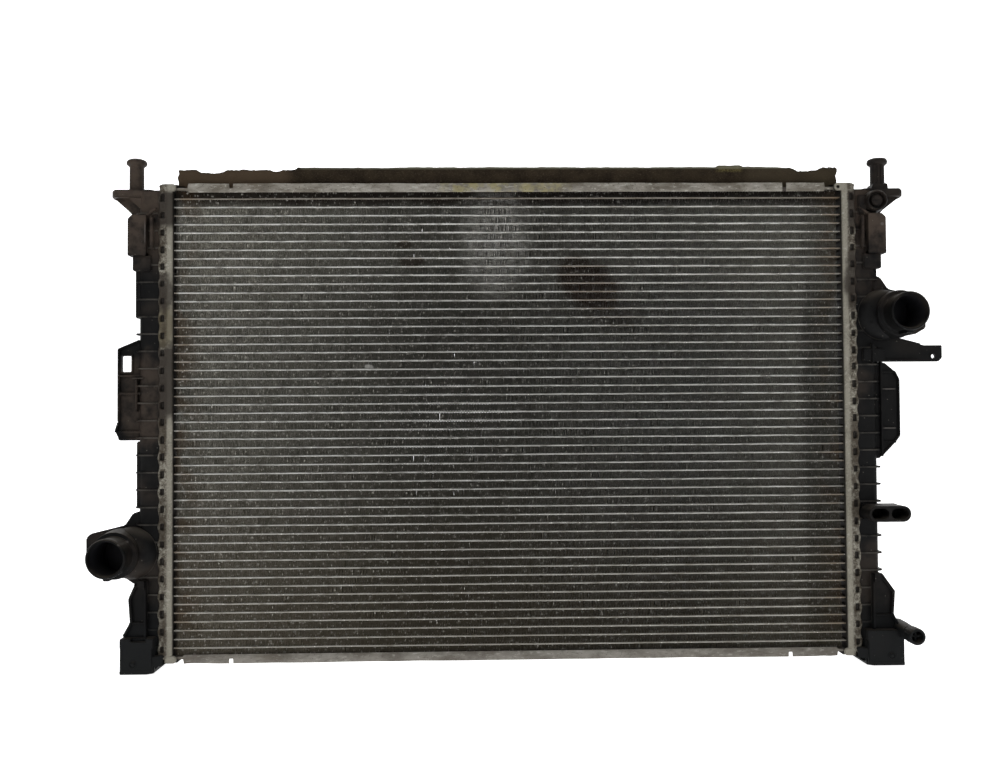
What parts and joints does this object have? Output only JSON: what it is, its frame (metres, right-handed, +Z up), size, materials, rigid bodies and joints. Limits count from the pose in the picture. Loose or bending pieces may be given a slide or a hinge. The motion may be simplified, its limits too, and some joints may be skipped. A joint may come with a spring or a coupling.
{
  "type": "car radiator",
  "caption": "Cross-flow car radiator: an aluminium tube-and-fin core between moulded end tanks with hose stubs, mounting pegs and feet, a bleed screw and a drain plug.",
  "frame": {"origin": "middle of the whole radiator's box, at the undersides of the feet", "axes": "+X to the right seen from the hose side, -Y the way the hose stubs point, +Z up"},
  "size_m": [0.8608, 0.087, 0.5122],
  "materials": {
    "core_aluminium": "dusty, oxidised",
    "header_aluminium": "dirty, stained",
    "plate_aluminium": "dusty, oxidised",
    "tank_plastic": "black glass-filled nylon, dusty",
    "gasket_rubber": "matt black",
    "seal_foam": "dirty felt-like foam, torn edges",
    "plug_plastic": "black"
  },
  "bodies": {
    "root": {"core_row_01": "core_aluminium", "core_row_02": "core_aluminium", "core_row_03": "core_aluminium", "core_row_04": "core_aluminium", "core_row_05": "core_aluminium", "core_row_06": "core_aluminium", "core_row_07": "core_aluminium", "core_row_08": "core_aluminium", "core_row_09": "core_aluminium", "core_row_10": "core_aluminium", "core_row_11": "core_aluminium", "core_row_12": "core_aluminium", "core_row_13": "core_aluminium", "core_row_14": "core_aluminium", "core_row_15": "core_aluminium", "core_row_16": "core_aluminium", "core_row_17": "core_aluminium", "core_row_18": "core_aluminium", "core_row_19": "core_aluminium", "core_row_20": "core_aluminium", "core_row_21": "core_aluminium", "core_row_22": "core_aluminium", "core_row_23": "core_aluminium", "core_row_24": "core_aluminium", "core_row_25": "core_aluminium", "core_row_26": "core_aluminium", "core_row_27": "core_aluminium", "header_plate_left": "header_aluminium", "header_plate_right": "header_aluminium", "gasket_left": "gasket_rubber", "gasket_right": "gasket_rubber", "side_plate_top": "plate_aluminium", "side_plate_bottom": "plate_aluminium", "air_seal_top": "seal_foam", "tank_left": "tank_plastic", "tank_right": "tank_plastic", "hose_stub_left": "tank_plastic", "hose_stub_right": "tank_plastic", "shroud_pocket_left": "tank_plastic", "shroud_pocket_right": "tank_plastic", "clip_bracket_left": "tank_plastic", "clip_lug_right": "tank_plastic"},
    "drain_ring": {"drain_plug_seal": "gasket_rubber"},
    "drain_plug": {"drain_plug": "plug_plastic"},
    "bleed_ring": {"bleed_screw_seal": "gasket_rubber"},
    "bleed_screw": {"bleed_screw": "plug_plastic"}
  },
  "joints": [
    {"name": "drain_plug_travel", "type": "slide", "parent": "root", "child": "drain_ring", "axis": [0, -1, 0], "range_m": [0, 0.012]},
    {"name": "drain_plug_turn", "type": "hinge", "parent": "drain_ring", "child": "drain_plug", "pos_m": [0.38125, -0.0225, 0.0336], "axis": [0, -1, 0], "range_deg": [0, 1441]},
    {"name": "bleed_screw_travel", "type": "slide", "parent": "root", "child": "bleed_ring", "axis": [0, -1, 0], "range_m": [0, 0.00525]},
    {"name": "bleed_screw_turn", "type": "hinge", "parent": "bleed_ring", "child": "bleed_screw", "pos_m": [0.36105, -0.0025, 0.4636], "axis": [0, -1, 0], "range_deg": [0, 1081]}
  ],
  "couplings": [
    {"joint": "drain_plug_turn", "follows": "drain_plug_travel", "rad_per_m": 2094.4},
    {"joint": "bleed_screw_turn", "follows": "bleed_screw_travel", "rad_per_m": 3590.4}
  ]
}
